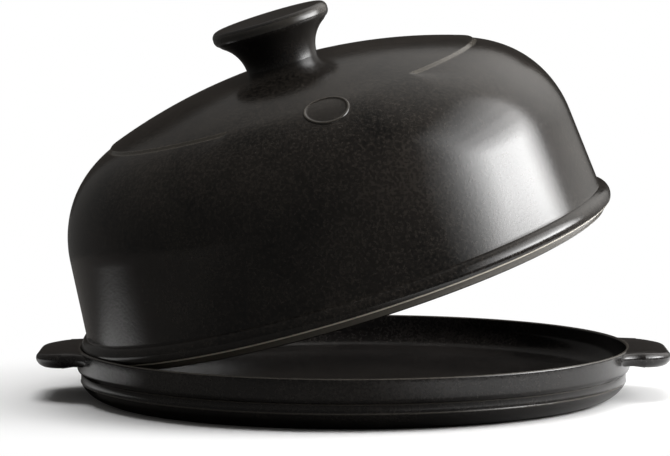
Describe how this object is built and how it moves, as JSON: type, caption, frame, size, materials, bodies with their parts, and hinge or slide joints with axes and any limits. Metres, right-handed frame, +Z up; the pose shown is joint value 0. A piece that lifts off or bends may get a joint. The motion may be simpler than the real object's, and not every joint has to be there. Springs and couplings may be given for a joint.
{
  "type": "bread cloche",
  "caption": "Round ceramic bread cloche: shallow baking plate with lug handles and a hollow domed lid with a turned knob, the lid propped ajar.",
  "frame": {"origin": "centre of the plate's foot ring on the table", "axes": "+X towards the right lug handle and the lifted side of the lid, +Y away from the viewer of the picture, +Z up"},
  "size_m": [0.3256, 0.285, 0.2037],
  "materials": {
    "plate_glaze": "charcoal glaze, semi-gloss",
    "handle_glaze": "charcoal glaze, glossy",
    "dome_glaze": "charcoal glaze with fine grain, satin",
    "knob_glaze": "black glaze, glossy"
  },
  "bodies": {
    "base": {"base_plate": "plate_glaze", "left_handle": "handle_glaze", "right_handle": "handle_glaze"},
    "lid": {"lid_dome": "dome_glaze", "lid_knob": "knob_glaze"}
  },
  "joints": [
    {"name": "lid_tilt", "type": "hinge", "parent": "base", "child": "lid", "pos_m": [-0.1194, -0.02647, 0.029], "axis": [0.2164, -0.9763, 0], "range_deg": [-17.2, 35]}
  ]
}
